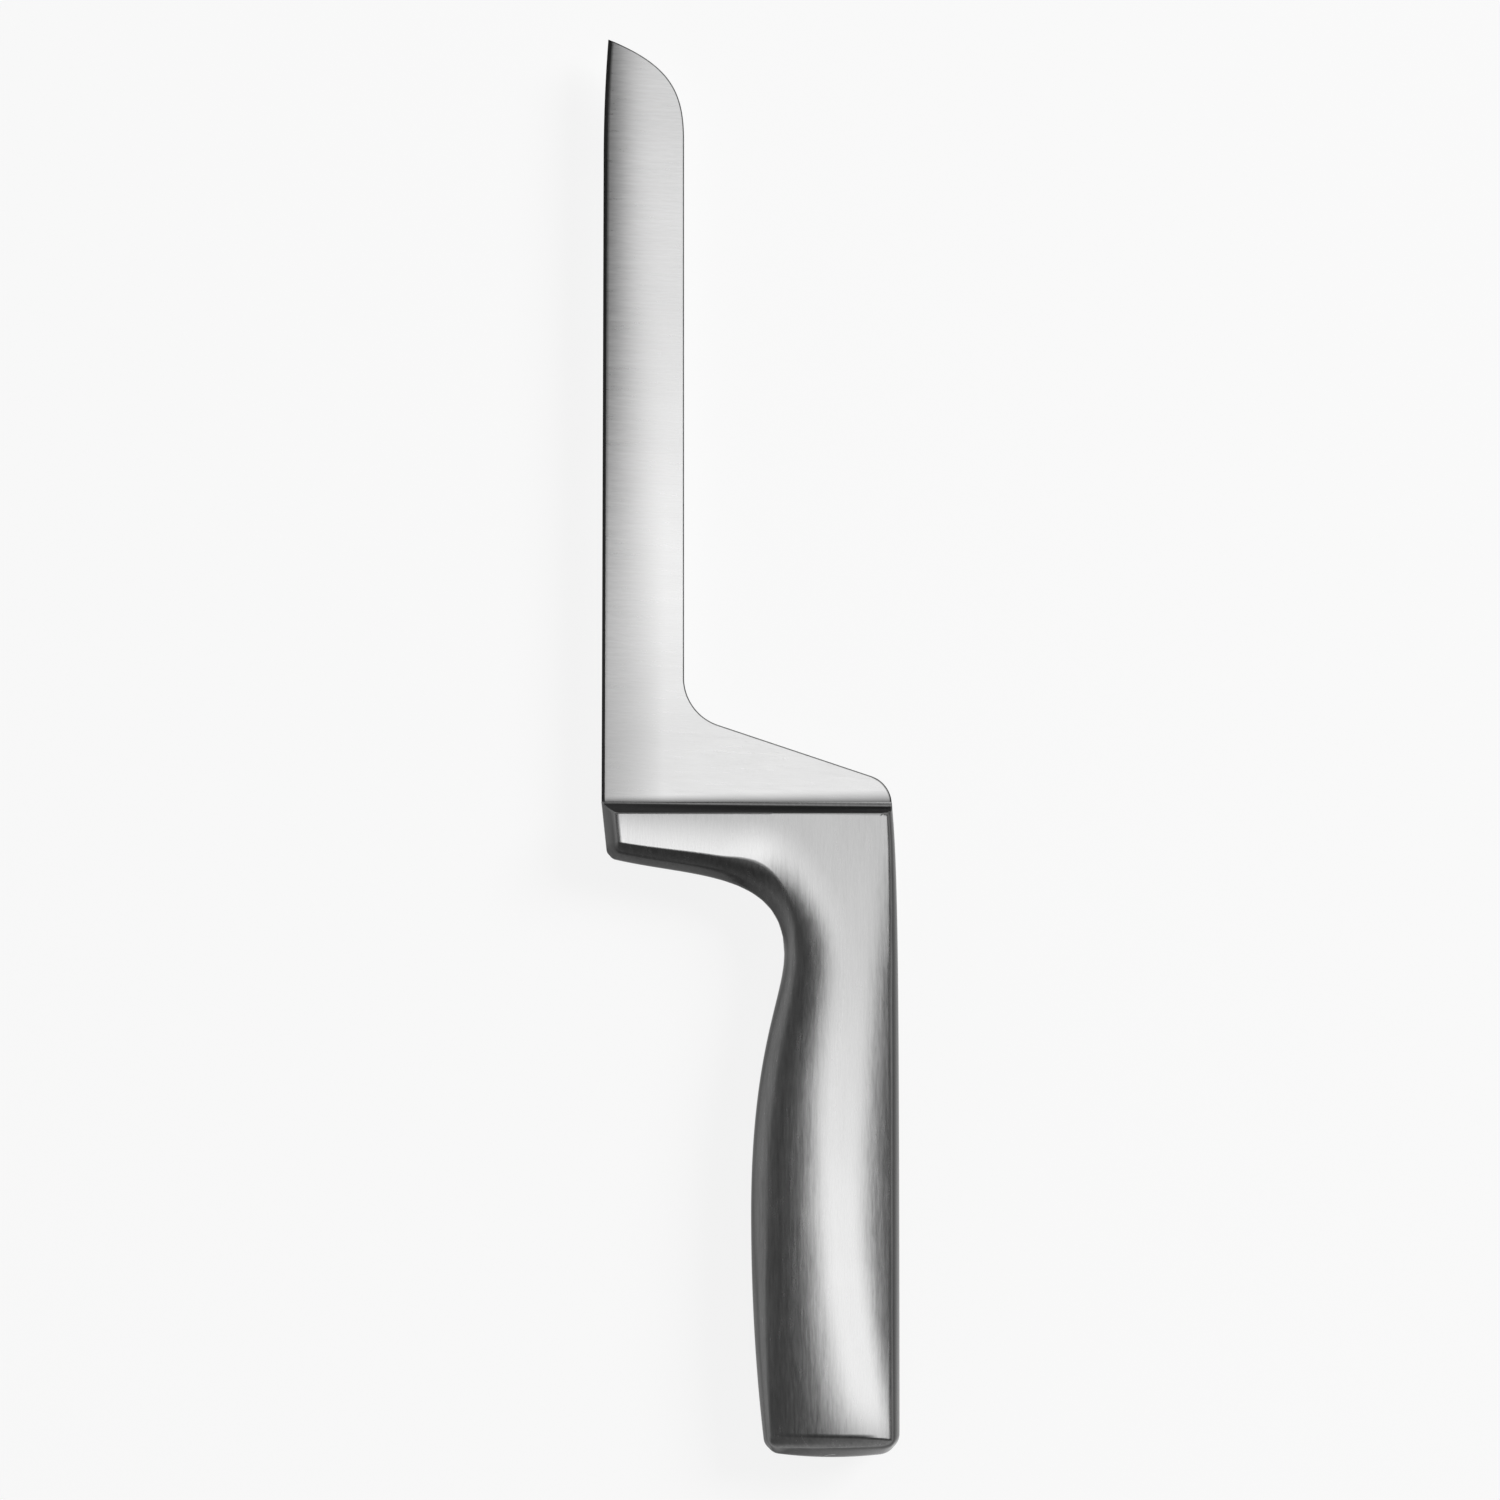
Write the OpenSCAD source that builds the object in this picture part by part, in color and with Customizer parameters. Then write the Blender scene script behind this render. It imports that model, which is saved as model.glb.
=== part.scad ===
// Offset cheese knife with a welded hollow handle. The knife lies on its side: the tip of the
// blade points along +Y, the cutting edge faces -X and the blade plate is parallel to the XY plane.
// Every shape is drawn with the handle's shoulder on Y = 0, the cutting edge on X = 0 and the middle
// of the plate on Z = 0, and is then placed so that the origin is the bottom centre of its box.

/* [Blade] */
// Length of the blade from the shoulder to the tip
blade_l = 156.1; // [130:0.1:180]
// Width of the blade from the cutting edge to the spine
blade_w = 16.9; // [14:0.1:22]
// Thickness of the blade plate
blade_t = 2.2; // [1.8:0.1:2.8]
// Width of the slightly rounded grind behind the cutting edge
grind_w = 11; // [8:0.5:13]
// Thickness of the plate where the grind meets the honed bevel
edge_t = 0.6; // [0.3:0.05:0.9]
// Width of the honed bevel along the cutting edge
bevel_w = 0.7; // [0.4:0.05:1.2]
// How far the cutting edge leans in over the length of the blade
edge_lean = 0.5; // [0.1:0.05:1]
// Length of the stretch at the tip where the cutting edge curves up
edge_curve_l = 24; // [18:1:40]
// How far the tip is set back from the cutting edge at the shoulder
tip_back = 1.4; // [1.2:0.1:2.5]
// Length of the curve that brings the spine down to the tip
tip_curve_l = 20.4; // [14:0.2:28]

/* [Neck] */
// Height above the shoulder at which the neck's slope would meet the spine
neck_top = 18.1; // [14:0.1:24]
// Height above the shoulder at which the neck's slope would meet the back
neck_low = 3.9; // [3:0.1:6]
// Radius of the corner between the spine and the neck's slope
neck_r = 10.2; // [6:0.1:12]
// Radius of the corner between the neck's slope and the back
heel_r = 6.1; // [5:0.1:7]

/* [Handle outline] */
// Length of the handle from the shoulder to the butt
handle_l = 134; // [120:1:150]
// Distance from the line of the cutting edge to the back of the handle
reach_w = 61; // [56:0.1:66]
// How far the back of the handle leans in at the shoulder
back_lean = 1.6; // [0.5:0.1:2.5]
// Length over which most of that lean is lost
back_curve_l = 32; // [20:1:50]
// Depth of the arm at its free end
arm_d = 11.4; // [10:0.1:14]
// How far the free end of the arm leans in towards its lower corner
arm_lean = 1.2; // [0.6:0.1:2]
// Width of the handle's waist, beside the deepest point of the finger notch
waist_w = 23.6; // [21:0.1:26]
// Distance from the shoulder down to the waist
waist_y = 31.1; // [28:0.1:36]
// Greatest width of the grip
grip_w = 30.4; // [27:0.1:33]
// Distance from the shoulder down to the grip's greatest width
grip_y = 84.2; // [78:0.2:95]
// Width across the butt's two corners
butt_w = 27.5; // [24:0.1:30]
// How far the butt's end bulges past its corners
butt_bulge = 1.1; // [0.6:0.1:2]
// Radius of the arm's lower corner, seen from the flat side
arm_r = 1.6; // [1:0.1:3]
// Radius of the butt's corner on the finger side
butt_front_r = 2.6; // [1.5:0.1:3.5]
// Radius of the butt's corner on the back
butt_back_r = 3.8; // [2.5:0.1:6]

/* [Handle thickness] */
// Thickness of the handle at the shoulder
arm_t = 9.2; // [8.4:0.1:11]
// Greatest thickness of the grip
grip_t = 16.4; // [14.6:0.1:18]
// Distance from the shoulder down to the greatest thickness
crest_y = 100; // [90:1:115]
// How far each face falls from its greatest height to the butt
butt_fall = 1; // [0.4:0.1:1.6]
// Thickness to which the handle falls on the finger side of the grip, inside its rounded edge
front_t = 5.6; // [4.8:0.1:7]
// How far each face falls from its ridge to the back of the grip
back_fall = 1.9; // [1:0.1:2.6]
// Width of the slanted shoulder beside the blade
shoulder_w = 2.4; // [1.8:0.1:3]
// Width of the slanted free end of the arm
arm_end_w = 2.8; // [1.8:0.1:3.4]
// Width of the rounded edge along the back
back_edge_w = 1.9; // [1.4:0.1:2.6]
// Width of the rounded edge at the butt
butt_edge_w = 3.6; // [2.6:0.1:4.4]

/* [Construction] */
// Wall of the pressed half shells
wall = 1.5; // [1.2:0.1:2]
// Height of the weld between the half shells
seam_h = 0.6; // [0.4:0.1:1]
// Thickness of the root and the tang, which are ground thinner than the blade
tang_t = 2; // [1.6:0.1:2.6]
// Depth of the full-width root below the shoulder
root_d = 4; // [3:0.1:6]
// Length of the tang from the shoulder to its round end
tang_l = 86; // [70:1:100]
// Width of the tang
tang_w = 14; // [10:0.5:17]
// Radius of the two cross pins
pin_r = 2; // [1.5:0.1:3]
// Length of the two cross pins
pin_l = 8; // [6:0.2:9]
// Distance from the shoulder down to the upper cross pin
pin_y = 42; // [38:1:48]
// Distance from the tang's end up to the lower cross pin
pin_end = 12; // [9:1:16]
// Radius of the plug that closes the filling hole in the butt
plug_r = 2.6; // [2:0.1:3.2]
// Clearance between the cast core and the steel round it
core_gap = 0.1; // [0.05:0.01:0.2]
// Clearance between a pin or plug and its hole
pin_fit = 0.02; // [0.01:0.005:0.05]

/* [Hidden] */

// One overrun serves all cuts.
over = 1;

// Places of the two handles of each curve, as shares of the sizes that the curve spans.
underside_shares = [[0.458, 0.501], [1, 0.433]];
waist_shares = [0.164, 0.637];
lower_shares = [0.336, 0.68, 0.362];
tip_shares = [0.503, 0.218, 0.748];

// How each face is crowned. A row holds its place along the outline (0 arm, 1 waist, 2 widest grip,
// 3 butt), how far across the ridge lies, the share of the way down to front_t that the face falls
// on the finger side, the share of back_fall that it falls by, and the powers with which it does.
crown_shares = [
    [0, 0.8, 0.22, 0, 2, 2.4], [0.55, 0.8, 0.23, 0, 2, 2.4], [0.8, 0.74, 0.69, 0, 2.6, 3],
    [1, 0.62, 1.08, 0.05, 3.2, 3.4], [1.25, 0.575, 1.03, 0.7, 3, 3.4], [2, 0.6, 1, 1, 2.4, 2.4],
    [2.4, 0.64, 0.97, 1, 2.4, 2.4], [2.75, 0.77, 1, 0.6, 2.4, 2.4], [3, 0.85, 1.05, 0.35, 2.2, 2.4]
];
// Where the back of the handle becomes straight, as a share of handle_l.
back_straight_share = 0.9;

// The rounded edge on the finger side. A row holds its place along the outline, its width as a
// share of the grip's half thickness, and how crisp its upper limit is, from 0 to 1.
edge_shares = [
    [0, 0.53, 0.9], [0.3, 0.58, 0.9], [0.6, 0.7, 0.6], [0.8, 0.6, 0.2], [1, 0.48, 0.05],
    [2, 0.45, 0.05], [2.35, 0.33, 0.35], [2.8, 0.21, 0.7], [3, 0.19, 0.7]
];
back_crisp = 0.15;
butt_crisp = 0.7;

// Steps of the handle's surface: along the four stretches of the outline, and across it.
cap_steps = 5;
underside_steps = 13;
waist_steps = 12;
lower_steps = 10;
edge_steps = 5;
face_steps = 8;
curve_steps = 16;

// A corner of radius 1 passes this far inside the crossing of its two sides.
corner_share = 1 - sqrt(0.5);

// Derived places.
notch_x = reach_w - waist_w;
grip_x = reach_w - grip_w;
butt_x = reach_w - butt_w;
back_top_x = reach_w - back_lean;
butt_corner_y = handle_l - butt_bulge;
seam_z = seam_h / 2;
land_z = blade_t / 2;
tang_x = mix(grip_x, reach_w, crown_shares[5][1]);
lower_pin_y = pin_end - tang_l;
grind_drop = (blade_t - edge_t) / 2;
grind_r = (grind_w^2 + grind_drop^2) / (2 * grind_drop);
straight_l = blade_l - edge_curve_l;
lean_a = atan(edge_lean / blade_l);
tip_in = tip_back * cos(lean_a) - blade_l * sin(lean_a);
tip_up = tip_back * sin(lean_a) + blade_l * cos(lean_a) - straight_l;
edge_curve_r = (tip_up^2 + tip_in^2) / (2 * tip_in);

function bezier(p, t) =
    p[0] * (1 - t)^3 + p[1] * 3 * t * (1 - t)^2 + p[2] * 3 * t^2 * (1 - t) + p[3] * t^3;

function mix(a, b, q) = a + (b - a) * q;

// Value of a column of a table at place q, on a smooth curve through its rows.
function table_slope(rows, column, k) =
    let (before = rows[max(k - 1, 0)], after = rows[min(k + 1, len(rows) - 1)])
        (after[column] - before[column]) / (after[0] - before[0]);
function table_value(rows, column, q, k = 0) =
    k < len(rows) - 2 && q > rows[k + 1][0]
        ? table_value(rows, column, q, k + 1)
        : let (
            span = rows[k + 1][0] - rows[k][0],
            s = min(max((q - rows[k][0]) / span, 0), 1),
            eased = s^2 * (3 - 2 * s)
        )
            mix(rows[k][column], rows[k + 1][column], eased)
                + span * s * (1 - s) * (table_slope(rows, column, k) * (1 - s)
                    - table_slope(rows, column, k + 1) * s);

// How far a rounded corner draws its two sides in, at a distance from their crossing.
function corner_pull(r, distance) = corner_share * r * max(0, 1 - distance / r)^2;

// The sharp-cornered outline of the handle. The finger side runs from the arm's lower corner (0)
// past the waist (1) and the widest grip (2) to the butt (3). Each place on it has a partner on
// the other side, which is the shoulder up to 1 and the back of the handle from there on.
function finger_side(q) =
    let (
        arm = [arm_lean, -arm_d],
        waist = [notch_x, -waist_y],
        grip = [grip_x, -grip_y],
        butt = [butt_x, -butt_corner_y],
        rest_y = grip_y - waist_y,
        end_y = butt_corner_y - grip_y
    )
    q <= 1 ? bezier([
            arm,
            [notch_x * underside_shares[0][0], -waist_y * underside_shares[0][1]],
            [notch_x * underside_shares[1][0], -waist_y * underside_shares[1][1]],
            waist
        ], q)
    : q <= 2 ? bezier([
            waist,
            waist - [0, rest_y * waist_shares[0]],
            grip + [0, rest_y * waist_shares[1]],
            grip
        ], q - 1)
    : bezier([
            grip,
            grip - [0, end_y * lower_shares[0]],
            mix(grip, butt, lower_shares[1]) - [(butt_x - grip_x) * lower_shares[2], 0],
            butt
        ], q - 2);

function lean_left(down) = 1 / (1 + down / back_curve_l)^2;
function back_x(y) =
    let (last = lean_left(handle_l * back_straight_share))
        reach_w - back_lean * max(0, lean_left(-y) - last) / (1 - last);

function far_side(q) =
    let (p = finger_side(q))
    q <= 1 ? [p.x - arm_lean * (1 - q) + (back_top_x - notch_x) * q^3, 0]
    : q <= 2 ? let (y = p.y + waist_y * (2 - q)^3) [back_x(y), y]
    : [back_x(p.y), p.y];

// A point of the outline's inside: q along it, t across it, inset by a wall. near_arm and near_butt
// say how much of the shape of each end the line through it has, from 0 to 1.
function plan_point(q, t, near_arm, near_butt) =
    let (
        near = finger_side(q),
        far = far_side(q),
        width = norm(far - near),
        from_near = t * width,
        from_far = (1 - t) * width,
        arm_pull = corner_pull(arm_r, norm([from_near, near.x - arm_lean])),
        front_pull = corner_pull(butt_front_r, norm([from_near, near.y + butt_corner_y])),
        back_pull = corner_pull(butt_back_r, norm([from_far, near.y + butt_corner_y])),
        bulge = butt_bulge * (1 - (2 * t - 1)^2) * near_butt
    )
    mix(near, far, t)
        + [arm_pull + front_pull - back_pull, arm_pull + front_pull + back_pull - bulge];

// Height of a face above the middle of the plate, at q along the outline and t across it.
function face_z(p, q, t) =
    let (
        risen = min(-p.y / crest_y, 1),
        sunk = max(-p.y - crest_y, 0) / (handle_l - crest_y),
        height = mix(arm_t, grip_t, risen * (3 - risen^2) / 2) / 2 - butt_fall * sunk^2,
        front_fall = (height - front_t / 2) * table_value(crown_shares, 2, q),
        ridge = table_value(crown_shares, 1, q),
        to_front = max(0, 1 - t / ridge),
        to_back = max(0, 1 - (1 - t) / (1 - ridge))
    )
    height - front_fall * to_front^table_value(crown_shares, 4, q)
        - back_fall * table_value(crown_shares, 3, q) * to_back^table_value(crown_shares, 5, q);

// Rounded edge: its inset and its height, both from 0 at the seam to 1 at the face. turn is the
// angle at which it stops short of the face's own slope.
function edge_turn(crisp) = 90 * (1 - 0.5 * crisp);
function edge_in(share, crisp) =
    let (turn = edge_turn(crisp)) (1 - cos(turn * share)) / (1 - cos(turn));
function edge_up(share, crisp) =
    let (turn = edge_turn(crisp)) sin(turn * share) / sin(turn);

// Lines across the handle, as [place along the outline, nearness to the arm's end, nearness to the
// butt, height share at that end]. inset moves both ends in by a wall.
function cap_q(width) = width / norm(finger_side(0.01) - finger_side(0)) * 0.01;
function butt_q(width) = width / norm(finger_side(3) - finger_side(2.99)) * 0.01;
function lines(inset, coarse) =
    let (
        arm_w = arm_end_w,
        butt_e = butt_edge_w,
        first = cap_q(inset),
        last = 3 - butt_q(inset),
        n_cap = ceil(cap_steps / coarse),
        n_under = ceil(underside_steps / coarse),
        n_waist = ceil(waist_steps / coarse),
        n_lower = ceil(lower_steps / coarse),
        arm_q = cap_q(arm_w + inset / 2),
        butt_start = 3 - butt_q(butt_e + inset / 2)
    )
    concat(
        [for (i = [0:n_cap - 1])
            let (s = i / n_cap) [mix(first, arm_q, s), 1 - s, 0, s]],
        [for (i = [0:n_under - 1]) [mix(arm_q, 1, i / n_under), 0, 0, 1]],
        [for (i = [0:n_waist - 1]) [1 + i / n_waist, 0, 0, 1]],
        [for (i = [0:n_lower]) [mix(2, butt_start, i / n_lower), 0, 0, 1]],
        [for (i = [n_cap - 1:-1:0])
            let (s = i / n_cap, in = edge_in(s, butt_crisp))
                [mix(last, butt_start, in), 0, 1 - in, edge_up(s, butt_crisp)]]
    );

// Points of one line, from the finger side to the far side, as [x, y, z].
function line_points(line, inset, coarse) =
    let (
        q = line[0],
        near = finger_side(q),
        far = far_side(q),
        n_edge = ceil(edge_steps / coarse),
        n_face = ceil(face_steps / coarse),
        crisp = table_value(edge_shares, 2, q),
        near_w = grip_t / 2 * table_value(edge_shares, 1, q) / norm(far - near),
        across = q <= 1 ? -near.y : far.x - near.x,
        far_w = (q <= 1 ? shoulder_w : back_edge_w) / across,
        slant = q <= 1 ? 1 - q^8 : 0,
        near_t = inset / norm(far - near),
        far_t = inset / across,
        near_end = near_t / 2 + near_w,
        far_end = 1 - far_t / 2 - far_w,
        steps = concat(
            [for (j = [0:n_edge - 1])
                let (s = j / n_edge) [mix(near_t, near_end, edge_in(s, crisp)), edge_up(s, crisp), 1]],
            [for (j = [0:n_face - 1]) [mix(near_end, far_end, j / n_face), 1, 1]],
            [for (j = [n_edge:-1:0])
                let (s = j / n_edge)
                    [
                        mix(1 - far_t, far_end, mix(edge_in(s, back_crisp), s, slant)),
                        1,
                        mix(edge_up(s, back_crisp), s, slant)
                    ]]
        )
    )
    [for (step = steps)
        let (
            p = plan_point(q, step[0], line[1], line[2]),
            share = step[1] * (line[1] > 0 ? min(step[2], line[3]) : step[2] * line[3]),
            base = inset > 0 ? seam_z : land_z
        )
            [p.x, p.y, mix(base, face_z(p, q, step[0]) - inset, share)]];

function skin(inset, coarse = 1) =
    [for (line = lines(inset, coarse)) line_points(line, inset, coarse)];

// The border of a surface, as [line, place] pairs in order round the handle.
function border(skin) =
    let (n = len(skin) - 1, m = len(skin[0]) - 1)
    concat(
        [for (i = [0:n - 1]) [i, 0]],
        [for (j = [0:m - 1]) [n, j]],
        [for (i = [n:-1:1]) [i, m]],
        [for (j = [m:-1:1]) [0, j]]
    );

function flat_border(skin) = [for (b = border(skin)) let (p = skin[b[0]][b[1]]) [p.x, p.y]];

// Triangles of a surface that faces up or down, whose points start at an index of the point list.
function skin_faces(skin, start, up) =
    let (n = len(skin) - 1, m = len(skin[0]))
    [for (i = [0:n - 1], j = [0:m - 2])
        let (
            a = start + i * m + j,
            b = a + m,
            quad = up ? [[a, a + 1, b + 1], [a, b + 1, b]] : [[a, b + 1, a + 1], [a, b, b + 1]]
        )
            each quad];

// Triangles of the strip between two loops of equal length, given as lists of indices.
function strip_faces(upper, lower) =
    let (n = len(upper))
    [for (i = [0:n - 1])
        let (k = (i + 1) % n)
            each [[upper[i], upper[k], lower[k]], [upper[i], lower[k], lower[i]]]];

function flatten(rows) = [for (row = rows) each row];

function indices(skin, start) =
    let (m = len(skin[0])) [for (b = border(skin)) start + b[0] * m + b[1]];

function count_from(start, n) = [for (i = [0:n - 1]) start + i];

// One pressed half shell, open at the seam.
module half_shell() {
    outer = skin(0);
    inner = skin(wall);
    size = len(outer) * len(outer[0]);
    rim = [for (p = flat_border(outer)) [p.x, p.y, seam_z]];
    rim_start = 2 * size;
    polyhedron(
        points = concat(flatten(outer), flatten(inner), rim),
        faces = concat(
            skin_faces(outer, 0, true),
            skin_faces(inner, size, false),
            strip_faces(indices(outer, 0), count_from(rim_start, len(rim))),
            strip_faces(count_from(rim_start, len(rim)), indices(inner, size))
        ),
        convexity = 8
    );
}

// The handle's whole outer form, or its cavity if inset, as one closed solid.
module handle_body(inset, coarse) {
    front = skin(inset, coarse);
    back = [for (row = front) [for (p = row) [p.x, p.y, -p.z]]];
    size = len(front) * len(front[0]);
    polyhedron(
        points = concat(flatten(front), flatten(back)),
        faces = concat(
            skin_faces(front, 0, true),
            skin_faces(back, size, false),
            strip_faces(indices(front, 0), indices(back, size))
        ),
        convexity = 8
    );
}

// Outline of the blade above the shoulder. Its left side lies beyond the cutting edge, which is
// made by the grinding and honing cuts alone.
module blade_outline() {
    slope = atan2(neck_top - neck_low, back_top_x - blade_w);
    corner_tan = tan((90 - slope) / 2);
    tip = [tip_back, blade_l];
    spine_end = [blade_w, blade_l - tip_curve_l];
    spine_handle = spine_end + [0, tip_curve_l * tip_shares[0]];
    tip_handle = [mix(blade_w, tip_back, tip_shares[1]), mix(spine_end.y, blade_l, tip_shares[2])];
    tip_curve = [for (i = [curve_steps - 1:-1:0])
        bezier([spine_end, spine_handle, tip_handle, tip], i / curve_steps)];
    beyond_tip = tip + (tip - tip_handle) * over / (tip_handle.x - tip.x);
    neck_centre = [blade_w + neck_r, neck_top + neck_r * corner_tan];
    neck_arc = [for (i = [0:curve_steps])
        let (a = 180 + (90 - slope) * i / curve_steps) neck_centre + neck_r * [cos(a), sin(a)]];
    heel_centre = [back_top_x - heel_r, neck_low - heel_r * corner_tan];
    heel_low_a = asin(max(0, -heel_centre.y) / heel_r);
    heel_arc = [for (i = [0:curve_steps])
        let (a = mix(90 - slope, heel_low_a, i / curve_steps))
            heel_centre + heel_r * [cos(a), sin(a)]];
    heel_x = back_top_x - heel_r + heel_r * cos(heel_low_a);
    polygon(concat(
        [[-over, 0], [-over, blade_l], beyond_tip],
        tip_curve,
        neck_arc,
        heel_arc,
        heel_centre.y > 0 ? [[heel_x, 0]] : []
    ));
}

// What the grinder takes off the front face: all above a wide cylinder that meets the flat face.
module grind_cut() {
    difference() {
        translate([-2 * over, -over, 0])
            cube([grind_w + 2 * over, blade_l + 2 * over, blade_t]);
        translate([grind_w, -2 * over, blade_t / 2 - grind_r])
            rotate([-90, 0, 0])
                cylinder(r = grind_r, h = blade_l + 4 * over, $fn = 720);
    }
}

// What the hone takes off the front face, along the straight edge and round its curve.
module bevel_wedge() {
    start = -2 * over - tip_back;
    polygon([[start, 0], [0, 0], [bevel_w, edge_t / 2], [bevel_w, blade_t], [start, blade_t]]);
}

module bevel_cut() {
    translate([0, straight_l, 0])
        rotate([90, 0, 0])
            linear_extrude(straight_l + over)
                bevel_wedge();
    translate([edge_curve_r, straight_l, 0])
        rotate([0, 0, 180])
            mirror([0, 1, 0])
                rotate_extrude(angle = 2 * asin(tip_up / edge_curve_r), $fn = 720)
                    translate([edge_curve_r, 0])
                        mirror([1, 0])
                            bevel_wedge();
}

module handle_outline() {
    polygon(flat_border(skin(0)));
}

// The plate inside the handle: a root as wide as the shoulder, and the tang below it.
module tang_plate(grow) {
    half = tang_w / 2 + grow;
    intersection() {
        handle_outline();
        translate([-over, -root_d - grow])
            square([reach_w + 2 * over, root_d + grow]);
    }
    translate([tang_x - half, -tang_l + tang_w / 2])
        square([2 * half, tang_l - tang_w / 2 - root_d + over]);
    translate([tang_x, -tang_l + tang_w / 2])
        circle(r = half, $fn = 48);
}

module pin_places() {
    for (y = [-pin_y, lower_pin_y])
        translate([tang_x, y, 0])
            children();
}

module pin(grow) {
    translate([0, 0, -pin_l / 2 - grow])
        cylinder(r = pin_r + grow, h = pin_l + 2 * grow, $fn = 48);
}

module plug_hole(grow) {
    translate([reach_w - butt_w / 2, -handle_l - over, 0])
        rotate([-90, 0, 0])
            cylinder(r = plug_r + grow, h = wall + over, $fn = 48);
}

module root_slot() {
    translate([-over, -root_d, -tang_t / 2])
        cube([reach_w + 2 * over, root_d + over, tang_t]);
}

module blade() {
    color("gainsboro") {
        difference() {
            translate([0, 0, -blade_t / 2])
                linear_extrude(blade_t)
                    blade_outline();
            for (side = [0, 180])
                rotate([0, side, 0])
                    mirror([side / 180, 0, 0])
                        rotate([0, 0, -lean_a]) {
                            grind_cut();
                            bevel_cut();
                        }
        }
        difference() {
            translate([0, 0, -tang_t / 2])
                linear_extrude(tang_t)
                    tang_plate(0);
            pin_places()
                pin(pin_fit);
        }
    }
}

module front_shell() {
    color("silver")
        difference() {
            half_shell();
            root_slot();
            plug_hole(pin_fit);
        }
}

module back_shell() {
    mirror([0, 0, 1])
        front_shell();
}

// The weld that closes the seam all the way round, up to the root of the blade.
module seam_weld() {
    color("darkgray")
        difference() {
            translate([0, 0, -seam_z])
                linear_extrude(seam_h)
                    difference() {
                        handle_outline();
                        polygon(flat_border(skin(wall)));
                    }
            root_slot();
            plug_hole(pin_fit);
        }
}

// The casting that fills the handle and holds the tang.
module filler_core() {
    color("dimgray")
        difference() {
            handle_body(wall + core_gap, 2);
            translate([0, 0, -tang_t / 2 - core_gap])
                linear_extrude(tang_t + 2 * core_gap)
                    tang_plate(core_gap);
            pin_places()
                pin(pin_fit);
        }
}

module upper_tang_pin() {
    color("gray")
        translate([tang_x, -pin_y, 0])
            pin(0);
}

module lower_tang_pin() {
    color("gray")
        translate([tang_x, lower_pin_y, 0])
            pin(0);
}

// The plug that closes the filling hole, ground flush with the butt.
module fill_plug() {
    color("silver")
        intersection() {
            plug_hole(0);
            handle_body(0, 1);
        }
}

// Puts the origin at the bottom centre of the knife's box.
module placed() {
    translate([-reach_w / 2, (handle_l - blade_l) / 2, grip_t / 2])
        children();
}

placed() blade();
placed() front_shell();
placed() back_shell();
placed() seam_weld();
placed() filler_core();
placed() upper_tang_pin();
placed() lower_tang_pin();
placed() fill_plug();
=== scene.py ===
# The steel's colour holds painted shade on the handle's sides and bend and on the blade's edges and neck.
# Offset cheese knife on a pale floor, lying on its side and seen from straight above.
# The imported model is the frame. The blade, the two handle shells and the plug in the butt are made
# again here as fine, smooth meshes on the same sizes. The weld, the pins and the filler keep the
# solids' own meshes. The steel is brushed and the filler is grainy.
# The drawing's coordinates are millimetres: the cutting edge is at X 0, the shoulder, where the
# blade leaves the handle, at Y 0, and the middle of the thickness at Z 0.
import math
import bmesh
import bpy
import numpy as np
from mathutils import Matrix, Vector
from mathutils.geometry import tessellate_polygon


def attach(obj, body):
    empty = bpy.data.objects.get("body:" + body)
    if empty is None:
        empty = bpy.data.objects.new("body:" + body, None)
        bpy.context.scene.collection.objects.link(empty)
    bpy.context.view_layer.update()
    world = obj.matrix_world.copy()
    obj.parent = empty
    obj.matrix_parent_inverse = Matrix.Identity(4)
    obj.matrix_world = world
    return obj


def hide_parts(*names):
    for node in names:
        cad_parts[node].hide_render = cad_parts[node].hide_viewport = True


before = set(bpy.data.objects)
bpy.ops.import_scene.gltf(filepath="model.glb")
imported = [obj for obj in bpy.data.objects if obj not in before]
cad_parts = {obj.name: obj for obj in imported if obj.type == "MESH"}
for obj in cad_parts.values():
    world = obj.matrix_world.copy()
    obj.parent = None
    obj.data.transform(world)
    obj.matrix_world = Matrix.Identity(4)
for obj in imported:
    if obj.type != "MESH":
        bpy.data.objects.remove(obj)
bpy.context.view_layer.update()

MM = 0.001

# Sizes of the blade and the neck, in millimetres.
BLADE_L = 156.1
BLADE_W = 16.9
BLADE_T = 2.2
BEVEL_W = 0.7
EDGE_LEAN = 0.5
EDGE_CURVE_L = 24
TIP_BACK = 1.4
TIP_CURVE_L = 20.4
NECK_TOP = 18.1
NECK_LOW = 3.9
NECK_R = 10.2
HEEL_R = 6.1
SPINE_ROUND = 0.18
# The grind at the tip and at the heel: width, slope beside the edge, and the power with which it fades.
GRIND_TIP = (15, 0.165, 2.5)
GRIND_HEEL = (12.5, 0.066, 0.5)
GRIND_TIP_Y, GRIND_HEEL_Y = 152, 15

# Sizes of the handle's outline.
HANDLE_L = 134
REACH_W = 61
BACK_LEAN = 1.6
BACK_CURVE_L = 32
ARM_D = 11.4
ARM_LEAN = 1.2
WAIST_W = 23.6
WAIST_Y = 31.1
GRIP_W = 30.4
GRIP_Y = 84.2
BUTT_W = 27.5
BUTT_BULGE = 1.1
ARM_R = 1.6
BUTT_FRONT_R = 2.6
BUTT_BACK_R = 3.8

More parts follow.
